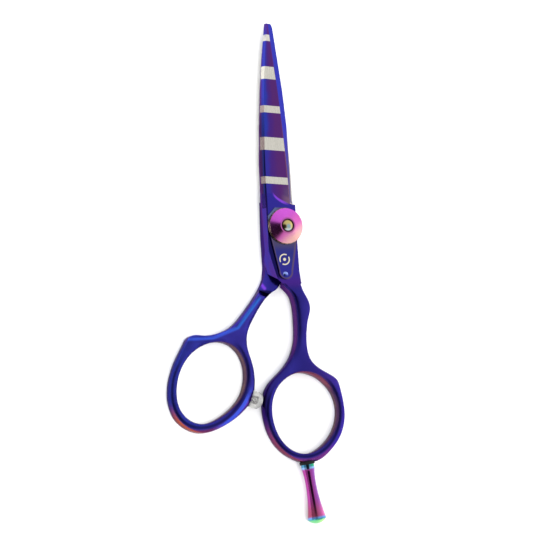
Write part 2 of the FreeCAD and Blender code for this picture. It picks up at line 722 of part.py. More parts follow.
def make_tension_knob():
    """Dial with a thin rim, a conical top and underside and a recess for the cap."""
    bore = "bolt_thread + run_gap"
    eye_floor = DIAL_TOP + " - eye_depth"
    return turned_piece("tension_knob", [
        (bore, DIAL_BASE), ("dial_foot", DIAL_BASE),
        ("dial_radius", RIM_BASE), ("dial_radius", RIM_TOP),
        ("dial_eye + dial_lip", DIAL_TOP), ("dial_eye", DIAL_TOP),
        ("dial_eye", eye_floor), (bore, eye_floor),
    ])


def make_dial_cap_screw():
    """Domed screw in the bolt's end, which keeps the dial from coming off."""
    foot = "bolt_top - cap_reach"
    corners = [
        ("0", foot), ("cap_shank", foot), ("cap_shank", CAP_BASE), ("cap_radius", CAP_BASE),
    ]
    rim = ("cap_radius", CAP_BASE + " + cap_edge")
    return domed_piece("dial_cap_screw", corners, rim, CAP_BASE + " + cap_thick")


def make_finger_rest():
    """Slender waisted rest with a stud, a collar and a flared, domed end."""
    body = new_body("finger_rest")
    sketch = new_sketch(body, "finger_rest_profile", "XZ_Plane")
    start = value("rest_washer_thick")
    collar = value("rest_collar")
    stud = value("stud_radius")
    foot = Vector(0, -value("stud_reach"), 0)
    path = [
        foot, foot + Vector(stud, 0, 0), Vector(stud, start, 0), Vector(collar, start, 0),
        Vector(collar, REST_GRIP[0][1] - value("collar_edge"), 0), Vector(*REST_GRIP[0], 0),
    ]
    for first, second in zip(path, path[1:]):
        sketch.addGeometry(Part.LineSegment(first, second), False)
    sketch.addGeometry(open_spline(REST_GRIP), False)
    rim = Vector(*REST_GRIP[-1], 0)
    crown = Vector(0, start + value("rest_length"), 0)
    rise = crown.y - rim.y
    radius = (rim.x ** 2 + rise ** 2) / (2 * rise)
    half_angle = math.asin(rim.x / radius) / 2
    middle = Vector(radius * math.sin(half_angle), crown.y - radius * (1 - math.cos(half_angle)), 0)
    sketch.addGeometry(Part.Arc(rim, middle, crown), False)
    sketch.addGeometry(Part.LineSegment(crown, foot), False)
    turned(body, sketch, "finger_rest_turned")
    seat, direction = rest_axis()
    body.Placement = Placement(seat, Rotation(Vector(0, 0, 1), direction))
    return body


def make_finger_rest_washer():
    """Black washer between the ring and the finger rest."""
    body = turned_piece("finger_rest_washer", ring_profile(
        "stud_radius", "rest_washer", "0", "rest_washer_thick"), rest_axis())

    def is_outside(edge):
        circular = edge.Curve.TypeId == "Part::GeomCircle"
        return circular and edge.Curve.Radius > value("rest_washer") - SAME_LENGTH

    round_edges(body, body.Tip, "washer_round", is_outside, "washer_edge")
    return body


def make_bumper():
    """Soft clear bumper on the thumb ring, and the slotted stud that holds it."""
    body = turned_piece("bumper", [
        ("0", "bumper_stud_out"), ("bumper_stud", "bumper_stud_out"), ("bumper_stud", "0"),
        ("bumper_radius", "0"), ("bumper_radius", "bumper_length"), ("0", "bumper_length"),
    ], bumper_axis())

    def is_free_end(edge):
        circular = edge.Curve.TypeId == "Part::GeomCircle"
        return circular and edge.Curve.Center.z > value("bumper_length") - SAME_LENGTH

    round_edges(body, body.Tip, "bumper_round", is_free_end, "bumper_end")
    stud = turned_piece("bumper_stud", [
        ("0", "0 - bumper_stud_in"), ("bumper_stud", "0 - bumper_stud_in"),
        ("bumper_stud", "bumper_stud_out"), ("0", "bumper_stud_out"),
    ], bumper_axis())
    return [body, stud]


def check_and_write(bodies):
    """Stop on any failed object or bad shape, then write one STEP file per node."""
    doc.recompute()
    for item in doc.Objects:
        if "Invalid" in item.State or "Error" in item.State:
            raise RuntimeError("%s failed: %s" % (item.Name, item.State))
    for body in bodies:
        shape = body.Shape
        if shape.isNull() or not shape.isValid() or not shape.Solids:
            raise RuntimeError(body.Label + " has no valid solid")
    os.makedirs("parts", exist_ok=True)
    for body in bodies:
        body.Shape.exportStep("parts/%s.step" % body.Label)
        box = body.Shape.BoundBox
        print("%-20s %9.2f mm3  z %.2f to %.2f" % (body.Label, body.Shape.Volume, box.ZMin, box.ZMax))


fill_sheet()
check_and_write([
    make_finger_half(), make_thumb_half(), make_pivot_bolt(), *make_washers(),
    make_leaf_spring_plate(), make_plate_rivet(), make_click_ring(), make_tension_knob(),
    make_dial_cap_screw(), make_finger_rest(), make_finger_rest_washer(), *make_bumper(),
])
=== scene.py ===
import math

import bpy
from mathutils import Matrix, Vector

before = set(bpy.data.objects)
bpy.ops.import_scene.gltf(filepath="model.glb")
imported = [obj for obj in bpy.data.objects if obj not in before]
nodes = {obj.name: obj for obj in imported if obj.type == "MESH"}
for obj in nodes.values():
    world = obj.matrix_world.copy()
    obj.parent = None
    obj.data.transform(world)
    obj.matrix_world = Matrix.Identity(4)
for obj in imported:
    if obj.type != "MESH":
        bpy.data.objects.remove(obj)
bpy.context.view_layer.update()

# The view: the camera stands to the left of straight above and a little towards the
# finger rings, and the blades lean to the left in the picture.
YAW = math.radians(23.0)
PITCH = math.radians(8.0)
ROLL = math.radians(4.0)
PICTURE_WIDTH = 0.1688
AIM_RIGHT = -0.0035
AIM_UP = -0.0119
LENS_MM = 200.0
SENSOR_MM = 36.0
NEAR_CLIP = 0.01
FAR_CLIP = 20.0

# The studio: the pale floor, with half its side, and the dark opening of the dome, given
# by the two angles from the camera's direction between which it fades in, and its level.
FLOOR_HALF = 3.0
FLOOR_COLOR = (0.95, 0.95, 0.95, 1.0)
FLOOR_ROUGHNESS = 0.9
FLOOR_SHEEN = 0.1
OPENING_OUTER = math.radians(32.0)
OPENING_INNER = math.radians(20.0)
OPENING_LEVEL = 0.02

# The dome's level by X: from the first two numbers of each row to the last two.
DOME_SIDE = (-1.0, 0.3, 0.6, 1.0)
DOME_WINDOW = (0.62, 0.95, 0.0, 0.4)

# Soft lights: name, place and power.
LIGHTS = [
    ("key", (-0.15, -0.25, 0.95), 7.0),
    ("fill", (0.7, 0.3, 0.7), 3.0),
    ("left_fill", (-0.8, 0.2, 0.6), 4.0),
]
LIGHT_SIZE = 0.7
LIGHT_AIM = (0.0, -0.01, 0.0)


def srgb(red, green, blue):
    """Turn 0-255 display values into the linear colour that shaders take."""
    def linear(channel):
        share = channel / 255.0
        if share <= 0.04045:
            return share / 12.92
        return ((share + 0.055) / 1.055) ** 2.4
    return (linear(red), linear(green), linear(blue), 1.0)


# ---------------------------------------------------------------- camera and studio

def view_axes():
    """Right, up and backward directions of the camera in the frame."""
    about_x = Matrix.Rotation(-PITCH, 3, "X")
    about_y = Matrix.Rotation(YAW, 3, "Y")
    about_z = Matrix.Rotation(ROLL, 3, "Z")
    turn = about_x @ about_y @ about_z
    return turn[0].copy(), turn[1].copy(), turn[2].copy()


def make_camera():
    """Place the camera, and return the direction from the object to it."""
    right, up, back = view_axes()
    data = bpy.data.cameras.new("camera")
    data.lens = LENS_MM
    data.sensor_width = SENSOR_MM
    data.clip_start = NEAR_CLIP
    data.clip_end = FAR_CLIP
    camera = bpy.data.objects.new("camera", data)
    bpy.context.scene.collection.objects.link(camera)
    distance = PICTURE_WIDTH * LENS_MM / SENSOR_MM
    aim = right * AIM_RIGHT + up * AIM_UP
    turn = Matrix((right, up, back)).transposed().to_4x4()
    camera.matrix_world = Matrix.Translation(aim + back * distance) @ turn
    bpy.context.scene.camera = camera
    return back


def make_floor():
    """Plain pale floor at the level that the shears lie on."""
    mesh = bpy.data.meshes.new("floor")
    half = FLOOR_HALF
    corners = [(-half, -half, 0), (half, -half, 0), (half, half, 0), (-half, half, 0)]
    mesh.from_pydata(corners, [], [(0, 1, 2, 3)])
    floor = bpy.data.objects.new("floor", mesh)
    bpy.context.scene.collection.objects.link(floor)
    material = bpy.data.materials.new("floor")
    material.use_nodes = True
    shader = material.node_tree.nodes["Principled BSDF"]
    shader.inputs["Base Color"].default_value = FLOOR_COLOR
    shader.inputs["Roughness"].default_value = FLOOR_ROUGHNESS
    shader.inputs["Specular IOR Level"].default_value = FLOOR_SHEEN
    mesh.materials.append(material)


def map_range(tree, source, spans, kind):
    """Map the stretch between the first two numbers of spans to the last two."""
    node = tree.nodes.new("ShaderNodeMapRange")
    node.interpolation_type = kind
    for name, number in zip(("From Min", "From Max", "To Min", "To Max"), spans):
        node.inputs[name].default_value = number
    tree.links.new(source, node.inputs["Value"])
    return node.outputs["Result"]


def combine(tree, operation, first, second):
    """One math node of two linked values."""
    node = tree.nodes.new("ShaderNodeMath")
    node.operation = operation
    tree.links.new(first, node.inputs[0])
    tree.links.new(second, node.inputs[1])
    return node.outputs[0]


def make_world(toward_camera):
    """A bright soft dome with a dark opening on the side that the picture is taken from.
    The camera itself sees it plain white."""
    world = bpy.data.worlds.new("studio")
    world.use_nodes = True
    bpy.context.scene.world = world
    tree = world.node_tree
    tree.nodes.clear()
    coords = tree.nodes.new("ShaderNodeTexCoord")
    dot = tree.nodes.new("ShaderNodeVectorMath")
    dot.operation = "DOT_PRODUCT"
    dot.inputs[1].default_value = toward_camera
    tree.links.new(coords.outputs["Generated"], dot.inputs[0])
    split = tree.nodes.new("ShaderNodeSeparateXYZ")
    tree.links.new(coords.outputs["Generated"], split.inputs[0])
    fade = (math.cos(OPENING_OUTER), math.cos(OPENING_INNER), 1.0, OPENING_LEVEL)
    opening = map_range(tree, dot.outputs["Value"], fade, "SMOOTHSTEP")
    side = map_range(tree, split.outputs["X"], DOME_SIDE, "LINEAR")
    window = map_range(tree, split.outputs["X"], DOME_WINDOW, "SMOOTHSTEP")
    level = combine(tree, "MULTIPLY", opening, combine(tree, "ADD", side, window))
    path = tree.nodes.new("ShaderNodeLightPath")
    seen = tree.nodes.new("ShaderNodeMix")
    seen.data_type = "FLOAT"
    tree.links.new(path.outputs["Is Camera Ray"], seen.inputs["Factor"])
    tree.links.new(level, seen.inputs["A"])
    seen.inputs["B"].default_value = 1.0
    background = tree.nodes.new("ShaderNodeBackground")
    background.inputs["Color"].default_value = (1.0, 1.0, 1.0, 1.0)
    tree.links.new(seen.outputs["Result"], background.inputs["Strength"])
    output = tree.nodes.new("ShaderNodeOutputWorld")
    tree.links.new(background.outputs[0], output.inputs["Surface"])


def make_light(name, place, power):
    """A round soft light that doesn't show in reflections."""
    data = bpy.data.lights.new(name, "AREA")
    data.shape = "DISK"
    data.size = LIGHT_SIZE
    data.energy = power
    light = bpy.data.objects.new(name, data)
    bpy.context.scene.collection.objects.link(light)
    light.location = place
    light.rotation_mode = "QUATERNION"
    light.visible_glossy = False
    direction = Vector(LIGHT_AIM) - Vector(place)
    light.rotation_quaternion = direction.to_track_quat("-Z", "Y")


toward_camera = make_camera()
make_floor()
make_world(toward_camera)
for light_name, light_place, light_power in LIGHTS:
    make_light(light_name, light_place, light_power)
bpy.context.scene.view_settings.view_transform = "Standard"


# ---------------------------------------------------------------- material building

# Shader maths is in millimetres: object coordinates come in metres, and Graph scales them.
MM_PER_M = 1000.0

# Sockets of a Mix node for its two colours and their mixture.
FIRST_COLOR = 6
SECOND_COLOR = 7
MIXED_COLOR = 2

# How much each axis counts in a noise that is the same in all directions.
EVEN = (1.0, 1.0, 1.0)

# Polishing lines: cells to the millimetre, and octaves.
POLISH_SCALE = 6.0
POLISH_DETAIL = 4.0

# Width in metres over which a crowned surface rounds off.
CROWN_RADIUS = 0.003
CROWN_SAMPLES = 8

GRAZING_TINT = (0.5, 0.45, 0.55, 1.0)


class Graph:
    """Small helper that adds and joins shader nodes of one material. Places are in
    millimetres in the object's own axes, which at rest are the frame's."""

    def __init__(self, name):
        self.material = bpy.data.materials.new(name)
        self.material.use_nodes = True
        self.tree = self.material.node_tree
        self.shader = self.tree.nodes["Principled BSDF"]
        coords = self.tree.nodes.new("ShaderNodeTexCoord")
        scaled = self.tree.nodes.new("ShaderNodeVectorMath")
        scaled.operation = "SCALE"
        scaled.inputs["Scale"].default_value = MM_PER_M
        self.tree.links.new(coords.outputs["Object"], scaled.inputs[0])
        self.place = scaled.outputs[0]
        self.x, self.y, self.z = self.split(self.place)
        self.nx, self.ny, self.nz = self.split(coords.outputs["Normal"])

    def join(self, source, socket):
        """Link a node's output to a socket, or set the socket to a plain value."""
        if isinstance(source, bpy.types.NodeSocket):
            self.tree.links.new(source, socket)
        else:
            socket.default_value = source

    def split(self, vector):
        """The three parts of a vector."""
        node = self.tree.nodes.new("ShaderNodeSeparateXYZ")
        self.join(vector, node.inputs[0])
        return node.outputs["X"], node.outputs["Y"], node.outputs["Z"]

    def math(self, operation, *values):
        """One math node of values that are plain numbers or other nodes' outputs."""
        node = self.tree.nodes.new("ShaderNodeMath")
        node.operation = operation
        for value, socket in zip(values, node.inputs):
            self.join(value, socket)
        return node.outputs[0]

    def add(self, first, second):
        return self.math("ADD", first, second)

    def less(self, first, second):
        """First minus second."""
        return self.math("SUBTRACT", first, second)

    def scale_add(self, value, factor, offset):
        """Value times factor, plus offset."""
        return self.math("MULTIPLY_ADD", value, factor, offset)

    def times(self, *values):
        """The product of all values."""
        product = values[0]
        for value in values[1:]:
            product = self.math("MULTIPLY", product, value)
        return product

    def most(self, *values):
        """The largest of all values."""
        result = values[0]
        for value in values[1:]:
            result = self.math("MAXIMUM", result, value)
        return result

    def least(self, *values):
        """The smallest of all values."""
        result = values[0]
        for value in values[1:]:
            result = self.math("MINIMUM", result, value)
        return result

    def absolute(self, value):
        return self.math("ABSOLUTE", value)

    def length(self, across, along):
        """Length of the vector with these two parts."""
        squares = self.add(self.times(across, across), self.times(along, along))
        return self.math("SQRT", squares)

    def invert(self, value):
        """One minus the value."""
        return self.math("SUBTRACT", 1.0, value)

    def ramp(self, value, low, high):
        """0 at low and 1 at high, which may be the smaller, smoothly in between."""
        node = self.tree.nodes.new("ShaderNodeMapRange")
        node.interpolation_type = "SMOOTHSTEP"
        self.join(value, node.inputs["Value"])
        self.join(low, node.inputs["From Min"])
        self.join(high, node.inputs["From Max"])
        return node.outputs["Result"]

    def band(self, value, low, high, soft):
        """1 between low and high, with soft edges outside them."""
        rising = self.ramp(value, low - soft, low)
        falling = self.ramp(value, high + soft, high)
        return self.times(rising, falling)

    def mix(self, factor, first, second):
        """The first colour at factor 0 and the second at 1."""
        node = self.tree.nodes.new("ShaderNodeMix")
        node.data_type = "RGBA"
        self.join(factor, node.inputs["Factor"])
        self.join(first, node.inputs[FIRST_COLOR])
        self.join(second, node.inputs[SECOND_COLOR])
        return node.outputs[MIXED_COLOR]

    def noise(self, scale, stretched=EVEN, detail=3.0):
        """Noise with about scale cells to the millimetre."""
        vector = self.tree.nodes.new("ShaderNodeVectorMath")
        vector.operation = "MULTIPLY"
        self.join(self.place, vector.inputs[0])
        vector.inputs[1].default_value = stretched
        node = self.tree.nodes.new("ShaderNodeTexNoise")
        node.inputs["Scale"].default_value = scale
        node.inputs["Detail"].default_value = detail
        self.join(vector.outputs[0], node.inputs["Vector"])
        return node.outputs["Fac"]

    def polish(self, low, high, stretched=EVEN):
        """Roughness that wanders between low and high along fine polishing lines."""
        lines = self.noise(POLISH_SCALE, stretched, POLISH_DETAIL)
        return self.scale_add(lines, high - low, low)

    def from_line(self, line):
        """Distance in the XY plane to the left of a line through two points."""
        first, second = line
        along = Vector(second) - Vector(first)
        along.normalize()
        offset = along.y * first[0] - along.x * first[1]
        rise = self.times(self.x, -along.y)
        return self.add(self.scale_add(self.y, along.x, rise), offset)

    def from_segment(self, line):
        """Distance in the XY plane to the stretch between two points."""
        first, second = line
        along = Vector(second) - Vector(first)
        length = along.length
        along.normalize()
        dx = self.less(self.x, first[0])
        dy = self.less(self.y, first[1])
        reach = self.add(self.times(dx, along.x), self.times(dy, along.y))
        held = self.least(self.most(reach, 0.0), length)
        rest_x = self.less(dx, self.times(held, along.x))
        rest_y = self.less(dy, self.times(held, along.y))
        return self.length(rest_x, rest_y)

    def from_point(self, point):
        """Distance in the XY plane to a point."""
        return self.length(self.less(self.x, point[0]), self.less(self.y, point[1]))

    def turned(self, seat, turn):
        """Places along and across a direction in the XY plane, turned from +X, with the
        seat as origin. Across is to the left of along."""
        dx = self.less(self.x, seat[0])
        dy = self.less(self.y, seat[1])
        along = self.add(self.times(dx, math.cos(turn)), self.times(dy, math.sin(turn)))
        across = self.less(self.times(dy, math.cos(turn)), self.times(dx, math.sin(turn)))
        return along, across

    def from_oval(self, oval):
        """Rough distance in the XY plane outwards from an oval, given by its middle, the
        turn from X to its long axis, and its half axes."""
        middle, turn, long_half, short_half = oval
        along, across = self.turned(middle, turn)
        along = self.times(along, 1.0 / long_half)
        across = self.times(across, 1.0 / short_half)
        return self.times(self.less(self.length(along, across), 1.0), short_half)

    def toward(self, point):
        """How far the surface faces a point in the XY plane, from -1 to 1."""
        dx = self.less(point[0], self.x)
        dy = self.less(point[1], self.y)
        facing = self.add(self.times(self.nx, dx), self.times(self.ny, dy))
        return self.math("DIVIDE", facing, self.length(dx, dy))

    def bump(self, height, distance, normal=None):
        """Relief from a height in units of distance, given in metres."""
        node = self.tree.nodes.new("ShaderNodeBump")
        if normal is not None:
            self.tree.links.new(normal, node.inputs["Normal"])
        node.inputs["Strength"].default_value = 1.0
        node.inputs["Distance"].default_value = distance
        self.join(height, node.inputs["Height"])
        self.tree.links.new(node.outputs[0], self.shader.inputs["Normal"])

    def crown(self, low, high):
        """Round the surface off towards its edges, from low to high along Y, as if it
        were ground convex."""
        node = self.tree.nodes.new("ShaderNodeBevel")
        node.samples = CROWN_SAMPLES
        radius = self.times(self.ramp(self.y, low, high), CROWN_RADIUS)
        self.join(radius, node.inputs["Radius"])
        return node.outputs["Normal"]

    def darken_grazing(self):
        """Keep the colour of a coating where it is seen at a slant, instead of white."""
        self.shader.inputs["Specular Tint"].default_value = GRAZING_TINT

    def finish(self, color, roughness, metallic=1.0):
        """Hand the results to the shader, and return the material."""
        self.join(color, self.shader.inputs["Base Color"])
        self.join(roughness, self.shader.inputs["Roughness"])
        self.shader.inputs["Metallic"].default_value = metallic
        return self.material


# ---------------------------------------------------------------- coated steel

BLUE = srgb(56, 51, 152)
SKY = srgb(42, 64, 168)
VIOLET = srgb(74, 42, 126)
PLUM = srgb(86, 44, 112)
INDIGO = srgb(44, 38, 122)
# light blue of slants facing right, a painted reflection of light from the right
REFLECTED_LIGHT_BLUE = srgb(52, 56, 162)
GREY_BLUE = srgb(82, 78, 130)
MAROON = srgb(84, 46, 108)
BROWN = srgb(120, 98, 84)
ROSE_BROWN = srgb(98, 76, 84)
DUSKY_PLUM = srgb(74, 52, 84)
# dark navy for painted shade and painted dark reflections
SHADE_NAVY = srgb(18, 14, 62)
SILVER = srgb(212, 209, 199)
CREAM = srgb(236, 226, 196)

# The holes of the rings as ovals: middle, turn from X to the long axis, half axes.
FINGER_OVAL = ((3.2, -58.8), math.radians(84.8), 12.7, 11.3)
THUMB_OVAL = ((-27.4, -48.3), math.radians(51.0), 13.8, 10.5)

# Slanted sides of the leaf spring plate, and its rounded foot.
PLATE_LEFT = ((-5.65, -1.5), (-3.05, -14.4))
PLATE_RIGHT = ((1.75, -14.4), (3.75, -4.5))
PLATE_FOOT = (-0.65, -14.4)
PLATE_FOOT_RADIUS = 2.4


def ring_color(graph, oval, start_y, base, edge, tones):
    """Colour of a finger ring below start_y: a dark line of painted reflection round its
    face and an edge colour outside that, a brown inner wall, and an outer wall that turns
    from its side tone to the hot and low ones towards the end."""
    side_tone, hot_tone, low_tone = tones
    middle = oval[0]
    gap = graph.from_oval(oval)
    # the painted dark reflection line keeps about 1 mm from the hole, more on the left than
    # on the right
    reflection_line_gap = graph.scale_add(graph.less(graph.x, middle[0]), -0.052, 1.0)
    past_reflection_line = graph.less(gap, reflection_line_gap)
    begun = graph.ramp(graph.y, start_y, start_y - 9.0)
    base = graph.mix(graph.times(graph.ramp(past_reflection_line, 0.3, 0.9), begun), base, edge)
    # painted dark reflection line round the ring's face
    line = graph.times(graph.ramp(graph.absolute(past_reflection_line), 0.65, 0.1), begun, 0.75)
    base = graph.mix(line, base, SHADE_NAVY)
    down = graph.ramp(graph.ny, -0.1, -0.75)
    left = graph.ramp(graph.nx, 0.35, -0.45)
    rim = graph.mix(down, side_tone, low_tone)
    rim = graph.mix(graph.times(down, left), rim, hot_tone)
    cloudy = graph.ramp(graph.noise(0.35), 0.35, 0.65)
    inside = graph.mix(cloudy, BROWN, ROSE_BROWN)
    inside = graph.mix(graph.ramp(graph.z, 2.6, 4.2), inside, DUSKY_PLUM)
    wall = graph.mix(graph.ramp(graph.toward(middle), 0.1, 0.7), rim, inside)
    return graph.mix(graph.ramp(graph.absolute(graph.nz), 0.86, 0.25), base, wall)


# ---------------------------------------------------------------- finger half

# Lines of the front blade: X at the pivot, and the bend, by the square of the distance
# along Y from the pivot.
RIDGE = (-5.65, 0.001075)
BEVEL = (2.55, -0.00072)
CUTTING_EDGE = (4.5, -0.00095)

# The silver bands: lowest and highest Y of each where X is -BAND_OFFSET, how far they
# fall towards the right, and how soft their edges are.
SILVER_BANDS = [(13.6, 15.8), (24.4, 28.5), (36.5, 38.7), (47.4, 51.4), (59.8, 61.8)]
BAND_OFFSET = 1.5
BAND_SLOPE = 0.06
BAND_SOFTNESS = 0.06

# The swoosh where the blade rises from the ricasso falls to the right along Y =
# SWOOSH_LOW + SWOOSH_RISE * exp(SWOOSH_RATE * (X + SWOOSH_OFFSET)), held at SWOOSH_TOP.
SWOOSH_LOW = 6.5
SWOOSH_RISE = 3.4
SWOOSH_RATE = -0.32
SWOOSH_OFFSET = 2.8
SWOOSH_TOP = 10.6

# Y where the ring starts, Y over which the shank becomes crowned, and the depth in
# metres of the grinding lines.
FINGER_RING_Y = -46.0
FINGER_CROWN = (-19.0, -23.0)
GRIND_DEPTH = 0.0000015

HEEL_GREY_PLUM = srgb(100, 86, 116)
SPINE_BLUE = srgb(42, 60, 140)
BARE_EDGE = srgb(168, 164, 152)
BEVEL_GOLD = srgb(150, 96, 84)
BAND_SILVER = srgb(198, 195, 186)
WARM_SILVER = srgb(170, 152, 150)
SWOOSH_GREY_PLUM = srgb(124, 92, 118)
SWOOSH_LIGHT = srgb(146, 76, 232)

RICASSO_RIDGE_SHADE = ((-5.5, 12.0), (-5.65, -1.5))
RICASSO_LEFT = srgb(50, 46, 146)
RICASSO_RIGHT = srgb(56, 46, 148)
RICASSO_FOOT = srgb(76, 38, 132)
RICASSO_WALL = srgb(58, 38, 112)
SLANT_PLUM = srgb(68, 40, 118)
SLANT_INDIGO = srgb(54, 44, 132)

FINGER_EDGE_LEFT = srgb(48, 36, 104)
FINGER_EDGE_MIDDLE = srgb(112, 54, 132)
FINGER_EDGE_RIGHT = srgb(62, 48, 158)
FINGER_RIM = (srgb(44, 30, 96), srgb(126, 62, 78), srgb(126, 60, 116))
FINGER_LIP = srgb(150, 82, 88)


def curve_x(graph, curve):
    """X of a blade line at the graph's Y."""
    start, bend = curve
    return graph.scale_add(graph.times(graph.y, graph.y), bend, start)


def blade_color(graph):
    """Colour of the front blade, with masks of its flat face and of its silver bands,
    and the brushed lines of the bands."""
    x, y, nz = graph.x, graph.y, graph.nz
    ridge = curve_x(graph, RIDGE)
    bevel = curve_x(graph, BEVEL)
    past_bevel = graph.less(x, bevel)
    past_ridge = graph.less(ridge, x)

    # the flat face, from blue at the ridge (share 0) to plum at the bevel (share 1)
    share = graph.math("DIVIDE", graph.less(x, ridge), graph.less(bevel, ridge))
    share = graph.add(share, graph.scale_add(graph.noise(0.22), 0.3, -0.15))
    lit = graph.times(graph.ramp(share, 0.26, 0.08), graph.ramp(y, 20.0, 34.0), 0.7)
    face = graph.mix(lit, BLUE, SKY)
    face = graph.mix(graph.ramp(share, 0.12, 0.36), face, VIOLET)
    face = graph.mix(graph.ramp(share, 0.32, 0.66), face, PLUM)
    # greyer plum towards the heel on the bevel side of the face
    heel_grey = graph.times(graph.ramp(y, 14.2, 11.0), graph.ramp(share, 0.6, 1.0), 0.6)
    face = graph.mix(heel_grey, face, HEEL_GREY_PLUM)
    near_tip = graph.ramp(y, 45.0, 62.0)
    face = graph.mix(near_tip, face, graph.mix(0.4, face, VIOLET))

    # the slants on both sides of it, the bevel's light blue being a painted reflection
    bevelled = graph.mix(graph.ramp(y, 34.0, 12.0), REFLECTED_LIGHT_BLUE, GREY_BLUE)
    spine = graph.mix(graph.ramp(y, 45.0, 20.0), graph.mix(0.4, BLUE, SKY), SPINE_BLUE)
    spine = graph.mix(graph.ramp(past_ridge, 0.25, 0.75), spine, MAROON)
    towards_tip = graph.ramp(y, 44.0, 46.0)
    off_spine = graph.most(graph.invert(towards_tip), graph.ramp(past_ridge, 0.1, -0.1))
    beyond = graph.times(graph.ramp(past_bevel, 0.0, 0.1), graph.ramp(y, 7.0, 9.0))
    is_bevel = graph.most(graph.ramp(graph.nx, 0.3, 0.4), beyond)
    is_top = graph.times(graph.ramp(nz, 0.8, 0.9), off_spine, graph.invert(beyond))
    blade = graph.mix(is_top, graph.mix(is_bevel, spine, bevelled), face)

    # edge of bare steel along the cutting edge, widest at the heel
    bare_width = graph.times(graph.ramp(y, 27.0, 8.0), 0.85)
    bare_x = graph.less(curve_x(graph, CUTTING_EDGE), bare_width)
    bare = graph.ramp(graph.less(x, bare_x), -0.08, 0.08)
    bare = graph.times(bare, graph.ramp(y, 32.0, 24.0), is_bevel)
    blade = graph.mix(bare, blade, BARE_EDGE)

    # a dark line of painted shade along the ridge, and a gold line along the bevel
    shade_mask = graph.ramp(graph.absolute(past_ridge), 0.26, 0.08)
    blade = graph.mix(graph.times(shade_mask, graph.ramp(y, 34.0, 18.0)), blade, SHADE_NAVY)
    gold = graph.ramp(graph.absolute(past_bevel), 0.2, 0.05)
    blade = graph.mix(graph.times(gold, graph.ramp(y, 40.0, 22.0), 0.6), blade, BEVEL_GOLD)

    band_y = graph.scale_add(graph.add(x, BAND_OFFSET), BAND_SLOPE, y)
    bands = graph.most(*[
        graph.band(band_y, lowest, highest, BAND_SOFTNESS)
        for lowest, highest in SILVER_BANDS
    ])
    on_face = graph.times(graph.ramp(nz, 0.15, 0.3), graph.invert(is_bevel))
    band_mask = graph.times(bands, on_face)
    lines = graph.ramp(graph.noise(9.0, (1.0, 0.02, 1.0)), 0.3, 0.7)
    bright = graph.mix(lines, BAND_SILVER, SILVER)
    silver = graph.mix(graph.most(is_top, towards_tip), WARM_SILVER, bright)
    return graph.mix(band_mask, blade, silver), is_top, band_mask, lines


def ricasso_color(graph):
    """Dark blue round the pivot, with painted shade beside the leaf spring plate, a violet
    side slant, and a dark line of painted shade along the ridge."""
    x, y, nz = graph.x, graph.y, graph.nz
    color = graph.mix(graph.ramp(x, -4.0, 4.0), RICASSO_LEFT, RICASSO_RIGHT)
    color = graph.mix(graph.ramp(y, -13.0, -20.0), color, RICASSO_FOOT)
    # painted shade beside the step up to the leaf spring plate
    shade_beside_plate = graph.band(graph.from_line(PLATE_LEFT), -1.1, 0.5, 0.6)
    shade_beside_plate = graph.times(shade_beside_plate, graph.ramp(y, 5.0, -1.0), graph.ramp(y, -17.2, -15.6), 0.85)
    color = graph.mix(shade_beside_plate, color, SHADE_NAVY)
    cloudy = graph.ramp(graph.noise(0.3, (1.0, 0.2, 1.0)), 0.4, 0.6)
    slant = graph.mix(cloudy, SLANT_PLUM, SLANT_INDIGO)
    color = graph.mix(graph.ramp(nz, 0.92, 0.8), color, slant)
    # painted shade along the ridge
    ridge_shade_line = graph.ramp(graph.from_segment(RICASSO_RIDGE_SHADE), 0.32, 0.1)
    return graph.mix(graph.times(ridge_shade_line, 0.85), color, SHADE_NAVY)


def finger_shank_color(graph):
    """Blue to violet shank of the finger half, and its ring."""
    x, y = graph.x, graph.y
    cloudy = graph.ramp(graph.noise(0.12, (1.0, 0.5, 1.0)), 0.3, 0.7)
    across = graph.times(graph.ramp(x, 3.0, 16.0), graph.ramp(y, -56.0, -46.0), 0.6)
    shank = graph.mix(across, graph.mix(cloudy, BLUE, INDIGO), VIOLET)
    edge = graph.mix(graph.ramp(x, -6.0, 0.0), FINGER_EDGE_LEFT, FINGER_EDGE_MIDDLE)
    edge = graph.mix(graph.ramp(x, 9.0, 13.0), edge, FINGER_EDGE_RIGHT)
    ring = ring_color(graph, FINGER_OVAL, FINGER_RING_Y, shank, edge, FINGER_RIM)
    lip = graph.ramp(graph.from_oval(FINGER_OVAL), 0.3, 0.1)
    lip = graph.times(lip, graph.ramp(y, -53.0, -49.0), 0.7)
    ring = graph.mix(lip, ring, FINGER_LIP)
    # sides facing right in the painted reflection blue, sides facing left maroon
    side = graph.mix(graph.ramp(graph.nx, -0.3, 0.3), MAROON, REFLECTED_LIGHT_BLUE)
    shank = graph.mix(graph.ramp(graph.nz, 0.8, 0.3), shank, side)
    return graph.mix(graph.ramp(y, -36.0, -44.0), shank, ring)


